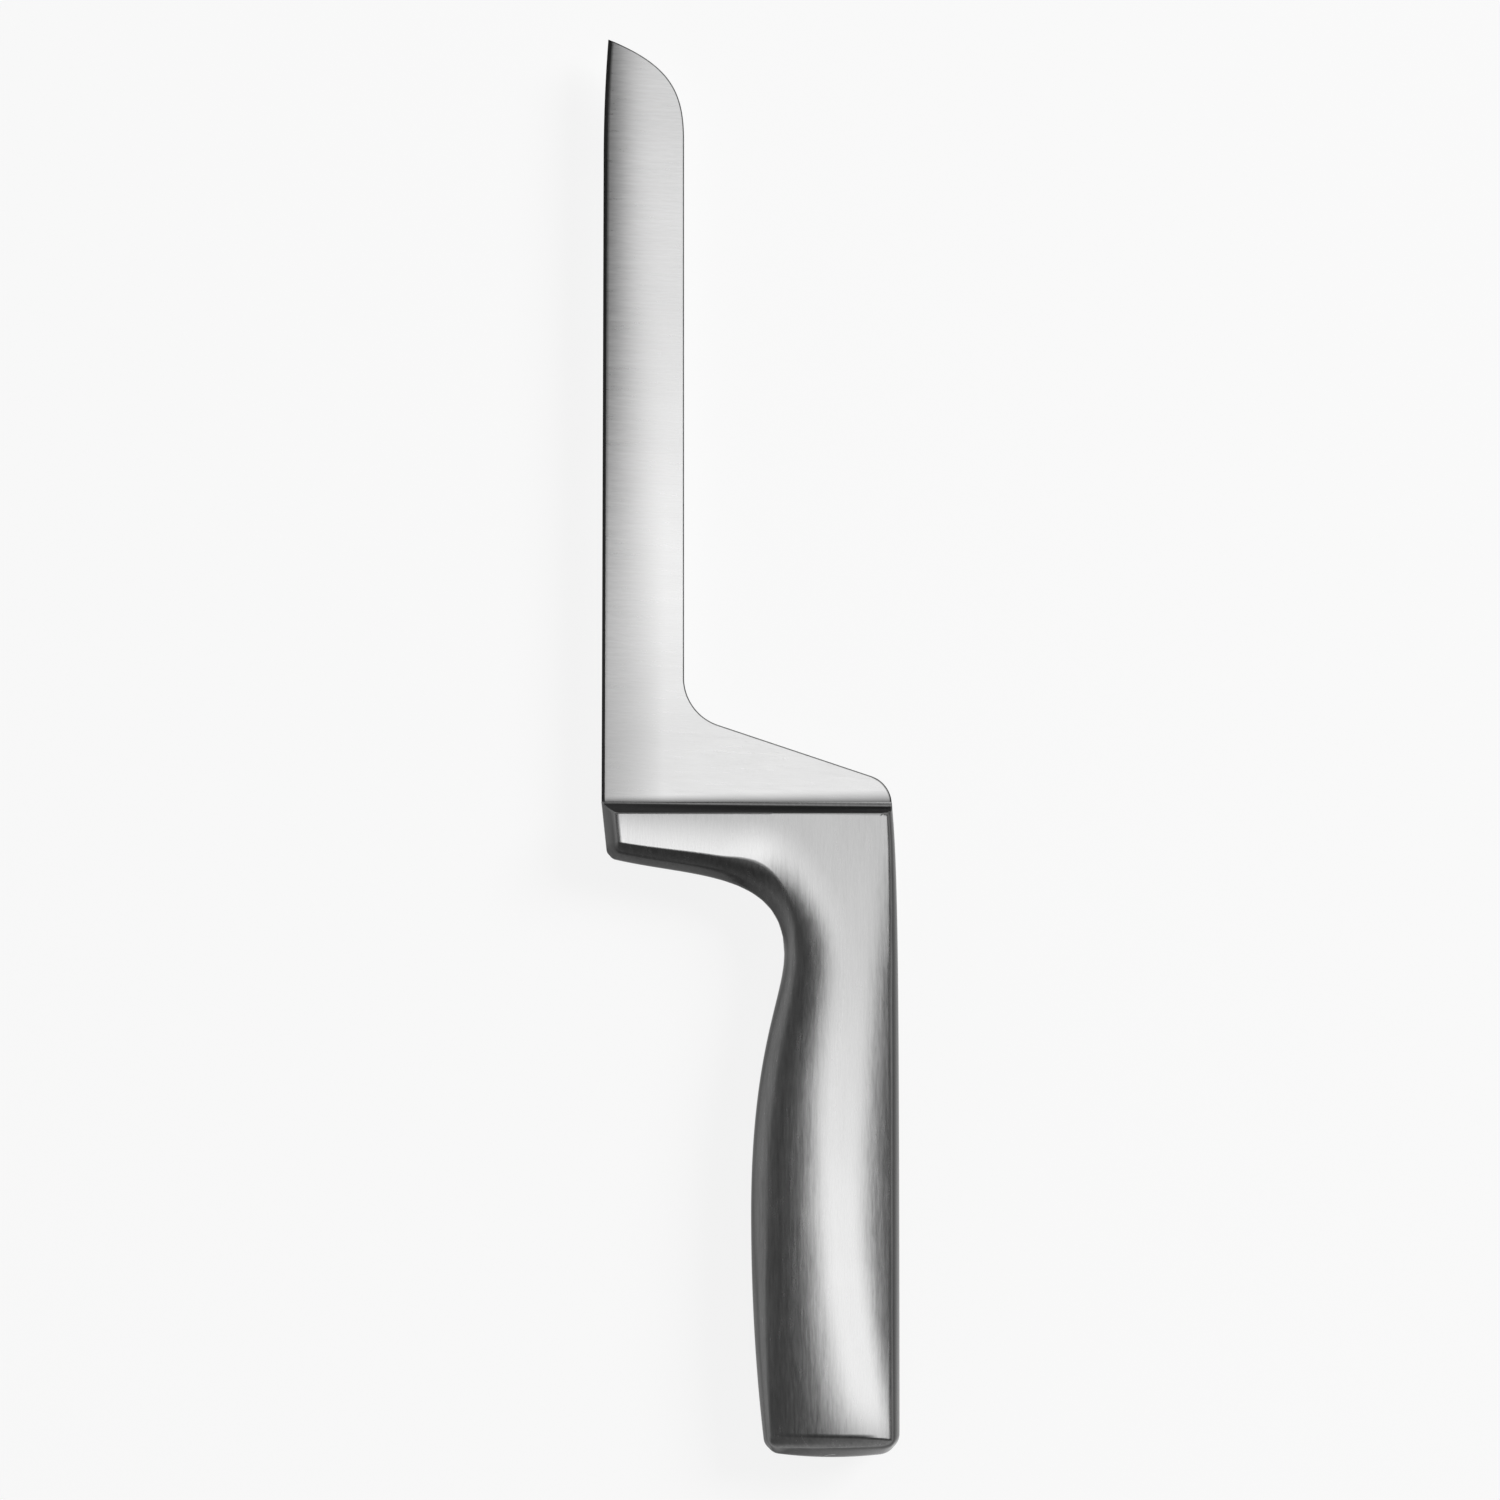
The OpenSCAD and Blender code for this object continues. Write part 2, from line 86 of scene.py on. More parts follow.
# Sizes across the handle's thickness.
ARM_T = 9.2
GRIP_T = 16.4
CREST_Y = 100
BUTT_FALL = 0.6
BUTT_END_FALL = 0.8
BUTT_END_L = 15
BUTT_END_POWER = 2.5
FRONT_T = 5.6
BACK_FALL = 1.9
SHOULDER_W = 2.3
SHOULDER_POWERS = (1.4, 2.8)
SHOULDER_EASE = 1.4
ARM_END_W = 2.8
BACK_EDGE_W = 1.9
BACK_EDGE_TOP_W = 1.2
BACK_EDGE_TURN_L = 36
BUTT_EDGE_W = 3.6
BUTT_EDGE_BACK_W = 2.9
BUTT_EDGE_TURN_W = 10
WALL = 1.5
SEAM_H = 0.6
TANG_T = 2
ROOT_D = 4
TANG_L = 86
TANG_W = 14
TANG_X = 48.84
PIN_Y = (42, 74)
PIN_HOLE_R = 2.02
PLUG_R = 2.6
PLUG_PROUD = 0.015

# The root keeps clear of the arm's end and of the back, and two strips at the height of the seam
# reach from there to the outline. HIDDEN_GAP keeps faces that touch apart, and SEAM_SLACK is how near
# the seam's height a point counts as on it.
ROOT_X = 1
ROOT_BACK_GAP = 0.5
STRIP_LAP = 0.1
STRIP_BELOW = 0.2
SEAM_SLACK = 0.01
HIDDEN_GAP = 0.02

# Shares that shape the curves, as in the construction.
UNDERSIDE_SHARES = [[0.458, 0.501], [1, 0.433]]
WAIST_SHARES = [0.164, 0.637]
LOWER_SHARES = [0.336, 0.68, 0.362]
TIP_SHARES = [0.503, 0.218, 0.748]
BACK_STRAIGHT_SHARE = 0.9
BACK_CRISP = 0.15
BUTT_CRISP = 0.85
ARM_CHAMFER = (0.36, 0.7, 0.28)
BUTT_CHAMFER = (0.46, 0.78, 0.15)
ARM_END_POWER = 1.25
CORNER_POWER = 2.5
# Place along the finger side, then: reach of the front fall and of the back fall as shares of the
# grip's width, shares of the two falls, and their powers.
CROWN_SHARES = np.array([
    [0, 0.32, 0.3, 0.4, 0, 2, 2.4], [0.45, 0.42, 0.3, 0.42, 0, 2, 2.4],
    [0.63, 0.54, 0.32, 0.92, 0, 2.6, 2.7], [0.8, 0.48, 0.3, 1.12, 0, 3.1, 3],
    [1, 0.485, 0.3, 1.1, 0.02, 3.2, 3.2], [1.25, 0.5, 0.3, 1.03, 0.3, 3, 3],
    [1.5, 0.53, 0.32, 1.02, 0.6, 2.8, 2.8], [2, 0.6, 0.35, 1, 0.86, 2.4, 2.4],
    [2.4, 0.64, 0.28, 0.98, 0.7, 2.4, 2.4], [2.75, 0.75, 0.19, 1, 0.33, 2.4, 2.4],
    [3, 0.8, 0.15, 1.05, 0.05, 2.2, 2.4],
])
# Place along the finger side, then: the edge's width as a share of half the grip's thickness, and how
# much it is a chamfer instead of a round.
EDGE_SHARES = np.array([
    [0, 0.47, 0.9], [0.45, 0.59, 0.85], [0.63, 0.78, 0.6], [0.8, 0.66, 0.3], [1, 0.48, 0.05],
    [2, 0.45, 0.05], [2.35, 0.33, 0.35], [2.8, 0.21, 0.7], [3, 0.19, 0.7],
])

# Steps of the fine meshes.
CAP_STEPS = 16
UNDERSIDE_STEPS = 100
WAIST_STEPS = 80
LOWER_STEPS = 60
EDGE_STEPS = 14
FACE_STEPS = 48
NEAREST_STEPS = 900
HEEL_CROWDING = 1.6
END_STEP = 0.01
INSIDE_DETAIL = 0.4
BEVEL_PLACES = (0, 0.35, 0.7, 0.94, 1)
GRIND_STEPS = 23
FLAT_STEPS = 14
SPINE_TURN = (30, 60, 90)
TIP_STEPS = 60
TIP_CROWDING = 1.3
SPINE_STEPS = 60
NECK_STEPS = 40
SLOPE_STEPS = 30
HEEL_STEPS = 24
TANG_END_STEPS = 25
HOLE_STEPS = 32
PLUG_STEPS = 48
PLUG_RINGS = np.linspace(0.05, 1, 9)
SHARP_ANGLE = 25
SHELL_SHARP_ANGLE = 55
BLADE_SHARP_ANGLE = 9

# Painted shade on the steel: how much its colour is darkened from place to place, standing in for the
# dark that its flanks, walls, bend and edges reflect, for a dimmer neck, and for the shade in the corner
# at the shoulder: 0 where it is as its material says, 1 where it is as dark as that gets. A rise is how
# much a face looks upwards or downwards, 1 where it lies flat.
FLANK_SHADE, FLANK_RISE, FLANK_SPAN = 0.53, 0.985, 0.06
WALL_SHADE, WALL_RISE, WALL_SPAN = 0.22, 0.82, 0.2
SLANT_SHADE, SLANT_RISE, SLANT_SPAN = 0.18, 0.1, 0.5
END_SHADE, TOP_END_SHARE = 0.22, 0.7
CREASE_SHADE, CREASE_RISE, CREASE_SPAN = 0.6, 0.95, 0.15
CREASE_END_Y, CREASE_FADE_L = -50, 20
UPRIGHT_SHARE, UPRIGHT_RISE = 0.6, 0.15
STRIP_SHADE = 0.65
NECK_SHADE, NECK_SHADE_Y, NECK_FADE_L = 0.17, 42, 30
FOOT_SHADE, FOOT_W, FOOT_POWER = 0.68, (1.2, 2.8), 1.5
# Painted shade on the honed edge, which reflects dark: it is painted dark as far as the first share of
# the bevel's width. From there to the second it is painted darker towards the tip.
HONED_SHARES = (0.97, 1.05)
HONED_RISE_L, HONED_HEEL_SHADE, HONED_LEAST_SHADE = 150, 0.1, 0.3
# A thin dark line of painted shade, for the dark that the rounded spine reflects, follows the spine and
# the neck. Distances from it are kept up to RIM_REACH.
RIM_W = 0.3
RIM_INNER_SHARE = 0.6
RIM_REACH = 1.5

# Brush marks: their number per metre across and along the grain, and their detail.
FINE_MARKS = (3000, 320, 2)
BROAD_MARKS = (1300, 80, 1)
CLOUDS = (60, 40, 2)
# Ranges that the sum of both kinds of marks, and the clouds, run through.
MARKS_RANGE, CLOUD_RANGE = (0.6, 1.4), (0.3, 0.7)
CLOUD_CONTRAST = 0.03
ROUGHNESS_CONTRAST = 0.12
MARK_DEPTH, MARK_STRENGTH = 0.00002, 0.15

# The filler's grains: their number per metre and detail, two tones, and how the tones are tinted.
RESIN_GRAINS, RESIN_DETAIL = 700.0, 3
RESIN_TONES, RESIN_TINT = (0.22, 0.38), (1, 0.97, 0.91)
RESIN_ROUGHNESS = (0.5, 0.75)
RESIN_DEPTH, RESIN_STRENGTH = 0.0001, 0.4

# Camera: straight above, as far as a long lens needs for the photograph's frame.
FRAME_W = 307.1
LENS = 150
SENSOR_W = 36
CAMERA_X, CAMERA_Y = -0.1, -0.41

# Floor: half its side in metres, its paint, and how much of it shows as plain white.
FLOOR_REACH = 6
FLOOR_TONE = 0.9
FLOOR_ROUGHNESS = 0.9
FLOOR_GLOW = 0.85

# Softbox overhead, in metres, longer along the knife, with its radiance at angles from its middle.
KEY_H = 2.0
KEY_Y = -0.35
KEY_SIZE_X, KEY_SIZE_Y = 1.9, 3.8
KEY_STRETCH = 2.0
KEY_TOP = 2.2
KEY_LEVELS = ((0, 2.2), (4, 1.95), (7, 1.42), (10, 0.86), (13, 0.42), (17, 0.15), (21, 0.04), (25, 0.0))

# Fill lamp to the upper right, which lights the floor.
FILL_RADIANCE = 15
FILL_SIZE = 1.2
FILL_AZIMUTH, FILL_POLAR, FILL_AWAY = 30, 58, 3.0

# World: its level at angles from straight up, and what each side adds: axis, sign and amount.
WORLD_LEVELS = (
    (90, 0.45), (82, 0.42), (76, 0.32), (70, 0.2), (62, 0.12), (50, 0.07), (35, 0.03), (0, 0.03)
)
WORLD_SIDES = (("X", 1, 0.16), ("X", -1, 0.05), ("Y", 1, 0.35))
WORLD_SIDE_START, WORLD_SIDE_END = 0.3, 0.85

# Derived places.
NOTCH_X = REACH_W - WAIST_W
GRIP_X = REACH_W - GRIP_W
BUTT_X = REACH_W - BUTT_W
BACK_TOP_X = REACH_W - BACK_LEAN
BUTT_CORNER_Y = HANDLE_L - BUTT_BULGE
SEAM_Z = SEAM_H / 2
LAND_Z = BLADE_T / 2
ORIGIN = np.array([-REACH_W / 2, (HANDLE_L - BLADE_L) / 2, GRIP_T / 2])


def mix(a, b, q):
    return a + (b - a) * q


def bezier(points, t):
    p = [np.asarray(point, float) for point in points]
    t = np.asarray(t, float)[..., None]
    return p[0] * (1 - t) ** 3 + p[1] * 3 * t * (1 - t) ** 2 + p[2] * 3 * t**2 * (1 - t) + p[3] * t**3


def table_value(rows, column, q):
    """Value of a column of a table at places q, on a smooth curve through its rows."""
    places, values = rows[:, 0], rows[:, column]
    last = len(rows) - 1
    before = np.maximum(np.arange(last + 1) - 1, 0)
    after = np.minimum(np.arange(last + 1) + 1, last)
    slopes = (values[after] - values[before]) / (places[after] - places[before])
    q = np.clip(q, places[0], places[-1])
    k = np.clip(np.searchsorted(places, q, side="left") - 1, 0, last - 1)
    span = places[k + 1] - places[k]
    s = (q - places[k]) / span
    eased = s**2 * (3 - 2 * s)
    bend = span * s * (1 - s) * (slopes[k] * (1 - s) - slopes[k + 1] * s)
    return mix(values[k], values[k + 1], eased) + bend


def corner_pull(radius, along_x, along_y):
    """How far a corner's round moves a point inwards in x and y, from its distances to the corner."""
    distance = np.hypot(along_x, along_y)
    turn = np.pi / 4 * np.maximum(0, 1 - distance / radius)
    aside = radius * (1 - np.cos(turn))
    along = np.where(distance < radius, radius * (1 - np.sin(turn)) - distance, 0)
    share = (along_y / np.maximum(distance, 1e-9)) ** 2
    return mix(along, aside, share), mix(aside, along, share)


def finger_side(q):
    """The handle's outline on the finger side: arm 0, waist 1, widest grip 2, butt 3."""
    q = np.asarray(q, float)
    arm = np.array([ARM_LEAN, -ARM_D])
    waist = np.array([NOTCH_X, -WAIST_Y])
    grip = np.array([GRIP_X, -GRIP_Y])
    butt = np.array([BUTT_X, -BUTT_CORNER_Y])
    rest_y = GRIP_Y - WAIST_Y
    end_y = BUTT_CORNER_Y - GRIP_Y
    underside = [
        arm,
        [NOTCH_X * UNDERSIDE_SHARES[0][0], -WAIST_Y * UNDERSIDE_SHARES[0][1]],
        [NOTCH_X * UNDERSIDE_SHARES[1][0], -WAIST_Y * UNDERSIDE_SHARES[1][1]],
        waist,
    ]
    upper = [waist, waist - [0, rest_y * WAIST_SHARES[0]], grip + [0, rest_y * WAIST_SHARES[1]], grip]
    lower = [
        grip,
        grip - [0, end_y * LOWER_SHARES[0]],
        mix(grip, butt, LOWER_SHARES[1]) - [(BUTT_X - GRIP_X) * LOWER_SHARES[2], 0],
        butt,
    ]
    below = np.where((q <= 2)[..., None], bezier(upper, q - 1), bezier(lower, q - 2))
    return np.where((q <= 1)[..., None], bezier(underside, q), below)


def lean_left(down):
    return 1 / (1 + down / BACK_CURVE_L) ** 2


def back_x(y):
    last = lean_left(HANDLE_L * BACK_STRAIGHT_SHARE)
    return REACH_W - BACK_LEAN * np.maximum(0, lean_left(-y) - last) / (1 - last)


def far_side(q):
    """The partner of each place of finger_side: on the shoulder up to 1, on the back from there."""
    q = np.asarray(q, float)
    p = finger_side(q)
    shoulder = np.stack([p[..., 0] - ARM_LEAN * (1 - q) + (BACK_TOP_X - NOTCH_X) * q**3, 0 * q], -1)
    y = np.where(q <= 2, p[..., 1] + WAIST_Y * np.maximum(2 - q, 0) ** 3, p[..., 1])
    back = np.stack([back_x(y), y], -1)
    return np.where((q <= 1)[..., None], shoulder, back)


def plan_point(q, t, near_arm, near_butt):
    """Point of the outline's inside at q along it and t across it."""
    near, far = finger_side(q), far_side(q)
    width = np.linalg.norm(far - near, axis=-1)
    from_near, from_far = t * width, (1 - t) * width
    to_butt = near[..., 1] + BUTT_CORNER_Y
    arm_pull = corner_pull(ARM_R, near[..., 0] - ARM_LEAN, from_near)
    front_pull = corner_pull(BUTT_FRONT_R, from_near, to_butt)
    back_pull = corner_pull(BUTT_BACK_R, from_far, to_butt)
    bulge = BUTT_BULGE * (1 - (2 * t - 1) ** 2) * near_butt
    pulls = [
        arm_pull[0] + front_pull[0] - back_pull[0], arm_pull[1] + front_pull[1] + back_pull[1] - bulge
    ]
    return mix(near, far, t[..., None]) + np.stack(pulls, -1)


def nearest_place(points):
    """Place along the finger side that is nearest to each point, and the distance to it."""
    places = np.linspace(0, 3, NEAREST_STEPS)
    line = finger_side(places)
    found, away = [], []
    for row in points:
        gap = row[:, None, :] - line[None, :, :]
        k = np.clip(np.argmin((gap**2).sum(-1), 1), 1, NEAREST_STEPS - 2)
        chord = line[k + 1] - line[k - 1]
        along = ((row - line[k - 1]) * chord).sum(-1) / (chord**2).sum(-1)
        along = np.clip(along, 0, 1)
        found.append(mix(places[k - 1], places[k + 1], along))
        away.append(np.linalg.norm(row - line[k - 1] - along[:, None] * chord, axis=-1))
    return np.array(found), np.array(away)


def crown_z(points):
    """Height of a face above the middle of the plate at each point of the outline's inside."""
    y = points[..., 1]
    q, from_front = nearest_place(points)
    from_back = np.maximum(back_x(y) - points[..., 0], 0)
    q_down = np.linspace(1, 3, NEAREST_STEPS)
    q_back = np.interp(-y, -far_side(q_down)[:, 1], q_down)
    risen = np.clip(-y / CREST_Y, 0, 1)
    sunk = np.maximum(-y - CREST_Y, 0) / (HANDLE_L - CREST_Y)
    ended = np.clip(1 - (BUTT_CORNER_Y + y) / BUTT_END_L, 0, 1)
    height = mix(ARM_T, GRIP_T, risen * (3 - risen**2) / 2) / 2 - BUTT_FALL * sunk**2
    height = height - BUTT_END_FALL * ended**BUTT_END_POWER
    front_fall = (height - FRONT_T / 2) * table_value(CROWN_SHARES, 3, q)
    back_fall = BACK_FALL * table_value(CROWN_SHARES, 4, q_back)
    to_front = np.maximum(0, 1 - from_front / GRIP_W / table_value(CROWN_SHARES, 1, q))
    to_back = np.maximum(0, 1 - from_back / GRIP_W / table_value(CROWN_SHARES, 2, q_back))
    front = front_fall * to_front ** table_value(CROWN_SHARES, 5, q)
    back = back_fall * to_back ** table_value(CROWN_SHARES, 6, q_back)
    return height - front - back


def edge_in(share, crisp):
    """Share of an edge's width at a share of its steps, from the outline inwards."""
    return mix(1 - np.cos(np.pi / 2 * share), share, crisp)


def edge_up(inward, crisp, chamfer):
    """Share of an edge's height at a share of its width: a quarter round, or a soft chamfer at crisp 1."""
    x = np.stack([0 * inward, 0 * inward + 1, np.clip(inward, 0, 1)])
    wall = x * chamfer[1] / chamfer[0]
    top = 1 - (1 - x) * (1 - chamfer[1]) / (1 - chamfer[0])
    low, high, at = (wall + top - np.sqrt((wall - top) ** 2 + chamfer[2] ** 2)) / 2
    return mix(np.sqrt(1 - (1 - x[2]) ** 2), (at - low) / (high - low), crisp)


def round_gap(a, b):
    """What is left of the way in from two sides, turning smoothly round their corner."""
    most, least = np.maximum(a, b), np.minimum(a, b)
    bent = (1 + (least / np.maximum(most, 1e-9)) ** CORNER_POWER) ** (1 / CORNER_POWER)
    return most * bent / (1 + (bent - 1) * most**4)


def end_weight(side, end):
    return end**2 / np.maximum(side**2 + end**2, 1e-9)


def end_share(width, first, second):
    """Share of the outline's parameter that a width takes next to one of its ends."""
    step = np.linalg.norm(finger_side(second) - finger_side(first))
    return width / step * abs(second - first)


def handle_lines(inset, detail):
    """Lines across the handle: place along it, and nearness to the arm's end and to the butt."""
    cap, under, waist, lower = (
        max(3, round(n * detail)) for n in (CAP_STEPS, UNDERSIDE_STEPS, WAIST_STEPS, LOWER_STEPS)
    )
    first, last = end_share(inset, 0, END_STEP), 3 - end_share(inset, 3 - END_STEP, 3)
    arm_q = end_share(ARM_END_W + inset / 2, 0, END_STEP)
    butt_start = 3 - end_share(BUTT_EDGE_W + inset / 2, 3 - END_STEP, 3)
    s = np.arange(cap) / cap
    rows = [np.stack([mix(first, arm_q, s), 1 - s, 0 * s], 1)]
    s = np.arange(under) / under
    q = mix(arm_q, 1, 1 - (1 - s) ** HEEL_CROWDING)
    rows.append(np.stack([q, 0 * q, 0 * q], 1))
    s = np.arange(waist) / waist
    q = mix(1, 2, s**HEEL_CROWDING)
    rows.append(np.stack([q, 0 * q, 0 * q], 1))
    q = mix(2, butt_start, np.arange(lower + 1) / lower)
    rows.append(np.stack([q, 0 * q, 0 * q], 1))
    s = np.arange(cap)[::-1] / cap
    sunk = edge_in(s, BUTT_CRISP)
    rows.append(np.stack([mix(last, butt_start, sunk), 0 * s, 1 - sunk], 1))
    return np.concatenate(rows)


def handle_skin(inset, detail):
    """Grid of points of one face of the handle, [line, place across, xyz]."""
    lines = handle_lines(inset, detail)
    q, near_arm, near_butt = lines.T
    near, far = finger_side(q), far_side(q)
    width = np.linalg.norm(far - near, axis=1)
    edge, face = max(3, round(EDGE_STEPS * detail)), max(6, round(FACE_STEPS * detail))
    crisp = table_value(EDGE_SHARES, 2, q)
    down, over = far[:, 1] - near[:, 1], far[:, 0] - near[:, 0]
    down_off, over_off = -far[:, 1], back_x(far[:, 1]) - far[:, 0]

    def far_share(shoulder_w, back_w):
        from_back = np.where(q > 0.8, (back_w - over_off) / over, 0)
        return np.maximum((shoulder_w - down_off) / np.maximum(down, 1e-9), from_back)

    far_t = far_share(inset, inset)
    near_t = inset / width
    near_w = GRIP_T / 2 * table_value(EDGE_SHARES, 1, q) / width
    near_end = near_t / 2 + near_w
    far_end = 1 - far_share(SHOULDER_W + inset / 2, BACK_EDGE_W + inset / 2)
    t, near_gap = [], []
    for s in np.arange(edge) / edge:
        t.append(mix(near_t, near_end, edge_in(s, crisp)))
        near_gap.append(1 - edge_in(s, crisp))
    for s in np.arange(face) / face:
        t.append(mix(near_end, far_end, s))
        near_gap.append(0 * q)
    for s in np.arange(edge, -1, -1) / edge:
        t.append(mix(1 - far_t, far_end, edge_in(s, np.where(q <= 1, 1, BACK_CRISP))))
        near_gap.append(0 * q)
    t, near_gap = np.stack(t, 1), np.stack(near_gap, 1)
    q, near_arm, near_butt, crisp = (
        np.repeat(v[:, None], t.shape[1], 1) for v in (q, near_arm, near_butt, crisp)
    )
    plan = plan_point(q, t, near_arm, near_butt)
    flat = mix(finger_side(q), far_side(q), t[..., None])
    back_w = mix(BACK_EDGE_TOP_W, BACK_EDGE_W, np.clip(-flat[..., 1] / BACK_EDGE_TURN_L, 0, 1))
    back_w = back_w - inset / 2
    back_gap = 1 - np.clip((back_x(flat[..., 1]) - flat[..., 0] - inset) / back_w, 0, 1)
    shoulder = np.clip((-flat[..., 1] - inset) / (SHOULDER_W - inset / 2), 0, 1)
    power = mix(*SHOULDER_POWERS, np.clip(flat[..., 0] / REACH_W, 0, 1))
    shoulder = 1 - (1 - shoulder**power) ** SHOULDER_EASE
    turned = np.clip((flat[..., 0] - REACH_W) / BUTT_EDGE_TURN_W + 1, 0, 1) ** 2
    taper = mix(1, BUTT_EDGE_W / BUTT_EDGE_BACK_W, turned)
    near_butt = np.maximum(0, 1 - (1 - near_butt) * taper)
    end_gap = near_arm + near_butt
    near_way, back_way = 1 - round_gap(near_gap, end_gap), 1 - round_gap(back_gap, near_butt)
    butt_up = edge_up(near_way, BUTT_CRISP, BUTT_CHAMFER)
    end_up = np.where(near_arm > 0, 1 - (1 - near_way) ** ARM_END_POWER, butt_up)
    near_up = mix(edge_up(near_way, crisp, ARM_CHAMFER), end_up, end_weight(near_gap, end_gap))
    back_end = edge_up(back_way, BUTT_CRISP, BUTT_CHAMFER)
    back_up = mix(edge_up(back_way, BACK_CRISP, ARM_CHAMFER), back_end, end_weight(back_gap, near_butt))
    share = np.minimum(np.minimum(near_up, back_up), shoulder)
    face_z = crown_z(plan)
    base = SEAM_Z if inset > 0 else LAND_Z
    z = mix(base, face_z - inset, share)
    return np.concatenate([plan, z[..., None]], -1)


def border(shape):
    """Indices of a grid's border, in order round it."""
    n, m = shape[0] - 1, shape[1] - 1
    pairs = [(i, 0) for i in range(n)] + [(n, j) for j in range(m)]
    pairs += [(i, m) for i in range(n, 0, -1)] + [(0, j) for j in range(m, 0, -1)]
    return [i * shape[1] + j for i, j in pairs]


def grid_faces(shape, start, up):
    """Faces of a grid of points whose first one has the number start."""
    faces = []
    m = shape[1]
    for i in range(shape[0] - 1):
        for j in range(m - 1):
            a = start + i * m + j
            face = (a, a + m, a + m + 1, a + 1)
            faces.append(face if up else face[::-1])
    return faces


def strip_faces(upper, lower):
    """Faces between two loops of as many points."""
    n = len(upper)
    return [(upper[i], lower[i], lower[(i + 1) % n], upper[(i + 1) % n]) for i in range(n)]


def add_layer(mesh, name, values):
    mesh.attributes.new(name, "FLOAT", "POINT").data.foreach_set("value", np.asarray(values, np.float32))


def make_piece(name, points, faces, material, sharp_angle=SHARP_ANGLE, layers=None):
    """A smooth mesh in metres on the knife's frame, from points in the drawing's millimetres."""
    mesh = bpy.data.meshes.new(name)
    mesh.from_pydata(((np.asarray(points) + ORIGIN) * MM).tolist(), [], faces)
    mesh.validate()
    mesh.shade_smooth()
    mesh.set_sharp_from_angle(angle=math.radians(sharp_angle))
    mesh.materials.append(material)
    # Pieces without layers of their own get the handle's painted shade.
    if layers is None:
        normals = np.zeros(len(mesh.vertices) * 3)
        mesh.vertices.foreach_get("normal", normals)
        layers = {"painted_shade": handle_shade(np.asarray(points), normals.reshape(-1, 3))}
    for layer, values in layers.items():
        add_layer(mesh, layer, values)
    piece = bpy.data.objects.new(name, mesh)
    bpy.context.scene.collection.objects.link(piece)
    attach(piece, "root")
    return piece


def handle_shade(points, normals):
    """Painted shade at each point of the handle: its flanks, its walls, and most the bend below the arm."""
    at_seam = np.abs(points[:, 2]) < SEAM_Z + SEAM_SLACK
    normals = np.where(at_seam[:, None], normals * [1, 1, 0], normals)
    normals = normals / np.linalg.norm(normals, axis=1, keepdims=True)
    rise = np.abs(normals[:, 2])

    def steeper(most, span):
        return np.clip((most - rise) / span, 0, 1)

    slant = np.clip((rise - SLANT_RISE) / SLANT_SPAN, 0, 1)
    ends = END_SHADE * np.maximum(normals @ [1, -1, 0], np.maximum(normals[:, 1] * TOP_END_SHARE, 0))
    walls = steeper(WALL_RISE, WALL_SPAN) * (WALL_SHADE + SLANT_SHADE * slant + ends)
    below_arm = np.clip((points[:, 1] - CREASE_END_Y) / CREASE_FADE_L, 0, 1)
    crease = CREASE_SHADE * below_arm * np.maximum(-normals[:, 1], 0) * steeper(CREASE_RISE, CREASE_SPAN)
    upright = mix(UPRIGHT_SHARE, 1, np.clip(rise / UPRIGHT_RISE, 0, 1))
    return np.clip(FLANK_SHADE * steeper(FLANK_RISE, FLANK_SPAN) + walls + crease, 0, 1) * upright


def shell_mesh(side):
    """Points and faces of a half shell. side is 1 for the upper half and -1 for the lower."""
    outer, inner = handle_skin(0, 1), handle_skin(WALL, INSIDE_DETAIL)
    rim_out = outer.reshape(-1, 3)[border(outer.shape)] * [1, 1, 0] + [0, 0, SEAM_Z]
    points = np.concatenate([outer.reshape(-1, 3), rim_out, inner.reshape(-1, 3)])
    n_outer, n_rim = outer.shape[0] * outer.shape[1], len(rim_out)
    outer_border, rim = border(outer.shape), list(range(n_outer, n_outer + n_rim))
    inner_start = n_outer + n_rim
    faces = grid_faces(outer.shape, 0, True)
    faces += strip_faces(outer_border, rim)
    faces += grid_faces(inner.shape, inner_start, False)
    inner_border = [inner_start + k for k in border(inner.shape)]
    faces += bridge(points, rim, inner_border)
    if side < 0:
        points = points * [1, 1, -1]
        faces = [face[::-1] for face in faces]
    return points, faces


def bridge(points, loop_a, loop_b):
    """Triangles between two loops that start at the same corner and may differ in count."""
    def lengths(loop):
        ring = points[loop + [loop[0]]]
        steps = np.linalg.norm(np.diff(ring, axis=0), axis=1)
        return np.concatenate([[0], np.cumsum(steps)]) / steps.sum()

    at_a, at_b = lengths(loop_a), lengths(loop_b)
    faces, i, j = [], 0, 0
    while i < len(loop_a) or j < len(loop_b):
        a, b = loop_a[i % len(loop_a)], loop_b[j % len(loop_b)]
        step_a = j == len(loop_b) or (i < len(loop_a) and at_a[i + 1] <= at_b[j + 1])
        if step_a:
            faces.append((a, b, loop_a[(i + 1) % len(loop_a)]))
            i += 1
        else:
            faces.append((a, b, loop_b[(j + 1) % len(loop_b)]))
            j += 1
    return faces


